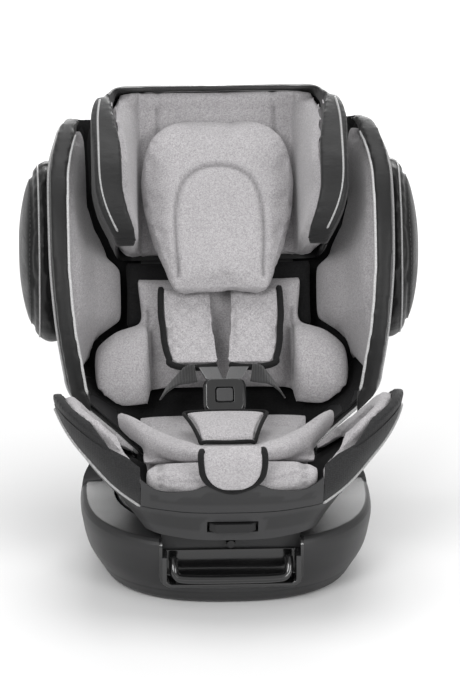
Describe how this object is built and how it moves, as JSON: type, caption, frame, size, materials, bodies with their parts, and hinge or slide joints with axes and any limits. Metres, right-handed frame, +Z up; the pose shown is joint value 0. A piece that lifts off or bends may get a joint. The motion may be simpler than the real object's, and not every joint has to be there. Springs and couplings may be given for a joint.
{
  "type": "convertible child car seat",
  "caption": "Rotating child car seat: winged reclining seat with sliding headrest, harness, infant insert and side pods on a turntable base with ISOFIX arms.",
  "frame": {"origin": "centre of the base's underside, on the turntable axis", "axes": "+Z up, the seat faces -Y, +X to the right of someone looking at the seat from the front"},
  "size_m": [0.542, 0.6191, 0.571],
  "materials": {
    "shell_plastic": "satin graphite moulded plastic",
    "black_plastic": "black satin plastic",
    "gloss_black": "polished black plastic",
    "light_fabric": "light grey melange knit",
    "dark_fabric": "dark grey leatherette",
    "pad_fabric": "light grey melange knit over foam",
    "steel": "zinc plated steel",
    "webbing": "black polyester webbing",
    "rubber": "matt black rubber",
    "green_plastic": "green release button",
    "red_plastic": "red release button"
  },
  "bodies": {
    "base": {"base_upper_housing": "shell_plastic", "base_lower_tray": "shell_plastic", "base_foot_ring": "rubber", "handle_bay": "black_plastic", "bearing_ring": "steel", "centre_spindle": "steel"},
    "release_handle": {"release_handle": "gloss_black"},
    "turntable_lock_pin": {"turntable_lock_pin": "steel"},
    "isofix_frame": {"isofix_frame": "steel", "isofix_connector_left": "black_plastic", "isofix_connector_right": "black_plastic"},
    "isofix_release_left": {"isofix_release_left": "green_plastic"},
    "isofix_release_right": {"isofix_release_right": "green_plastic"},
    "isofix_jaw_left": {"isofix_jaw_left": "steel"},
    "isofix_jaw_right": {"isofix_jaw_right": "steel"},
    "turntable": {"turntable_disc": "black_plastic", "recline_cradle": "black_plastic"},
    "seat": {"seat_tub": "shell_plastic", "seat_rim_left": "dark_fabric", "seat_rim_right": "dark_fabric", "seat_wing_pad_left": "light_fabric", "seat_wing_pad_right": "light_fabric", "seat_cushion": "light_fabric", "front_roll": "light_fabric", "back_outer_cover": "dark_fabric", "backrest_shell": "shell_plastic", "back_rim_left": "dark_fabric", "back_rim_right": "dark_fabric", "back_wing_pad_left": "light_fabric", "back_wing_pad_right": "light_fabric", "back_pad": "dark_fabric", "side_pod_left": "dark_fabric", "side_pod_right": "dark_fabric", "insert_back": "pad_fabric", "insert_seat": "pad_fabric", "shoulder_pad_left": "pad_fabric", "shoulder_pad_right": "pad_fabric", "buckle_housing": "black_plastic", "buckle_tongue_left": "steel", "buckle_tongue_right": "steel", "shoulder_strap_left": "webbing", "shoulder_strap_right": "webbing", "lap_strap_left": "webbing", "lap_strap_right": "webbing", "crotch_strap": "webbing", "crotch_pad": "pad_fabric", "rear_strap_left": "webbing", "rear_strap_right": "webbing", "adjuster_strap": "webbing"},
    "buckle_button": {"buckle_button": "red_plastic"},
    "harness_adjuster_button": {"harness_adjuster_button": "black_plastic"},
    "recline_lever": {"recline_lever": "black_plastic"},
    "headrest": {"headrest_cover": "dark_fabric", "headrest_shell": "black_plastic", "headrest_pad": "light_fabric", "head_pillow": "pad_fabric", "headrest_slider": "steel", "headrest_carriage": "black_plastic", "belt_guide_left": "black_plastic", "belt_guide_right": "black_plastic"}
  },
  "joints": [
    {"name": "seat_turn", "type": "hinge", "parent": "base", "child": "turntable", "pos_m": [0, 0, 0.08], "axis": [0, 0, 1], "continuous": true},
    {"name": "recline", "type": "hinge", "parent": "turntable", "child": "seat", "pos_m": [0, 0, 0.33], "axis": [-1, 0, 0], "range_deg": [0, 15]},
    {"name": "headrest_height", "type": "slide", "parent": "seat", "child": "headrest", "axis": [0, 0.4431, 0.8965], "range_m": [0, 0.15]},
    {"name": "handle_pull", "type": "slide", "parent": "base", "child": "release_handle", "axis": [0, -1, 0], "range_m": [0, 0.012]},
    {"name": "lock_pin_slide", "type": "slide", "parent": "base", "child": "turntable_lock_pin", "axis": [0, -1, 0], "range_m": [0, 0.012]},
    {"name": "isofix_slide", "type": "slide", "parent": "base", "child": "isofix_frame", "axis": [0, 1, 0], "range_m": [0, 0.1]},
    {"name": "isofix_release_left_slide", "type": "slide", "parent": "isofix_frame", "child": "isofix_release_left", "axis": [0, -1, 0], "range_m": [0, 0.005]},
    {"name": "isofix_release_right_slide", "type": "slide", "parent": "isofix_frame", "child": "isofix_release_right", "axis": [0, -1, 0], "range_m": [0, 0.005]},
    {"name": "isofix_jaw_left_turn", "type": "hinge", "parent": "isofix_frame", "child": "isofix_jaw_left", "pos_m": [-0.14, 0.197, 0.039], "axis": [1, 0, 0], "range_deg": [0, 20]},
    {"name": "isofix_jaw_right_turn", "type": "hinge", "parent": "isofix_frame", "child": "isofix_jaw_right", "pos_m": [0.14, 0.197, 0.039], "axis": [1, 0, 0], "range_deg": [0, 20]},
    {"name": "buckle_press", "type": "slide", "parent": "seat", "child": "buckle_button", "axis": [0, 0.866, -0.5], "range_m": [0, 0.004]},
    {"name": "harness_adjuster_press", "type": "slide", "parent": "seat", "child": "harness_adjuster_button", "axis": [0, 0, -1], "range_m": [0, 0.003]},
    {"name": "recline_lever_pull", "type": "slide", "parent": "seat", "child": "recline_lever", "axis": [0, -1, 0], "range_m": [0, 0.015]}
  ],
  "couplings": [
    {"joint": "lock_pin_slide", "follows": "handle_pull", "ratio": 1},
    {"joint": "isofix_jaw_left_turn", "follows": "isofix_release_left_slide", "rad_per_m": 69},
    {"joint": "isofix_jaw_right_turn", "follows": "isofix_release_right_slide", "rad_per_m": 69}
  ]
}
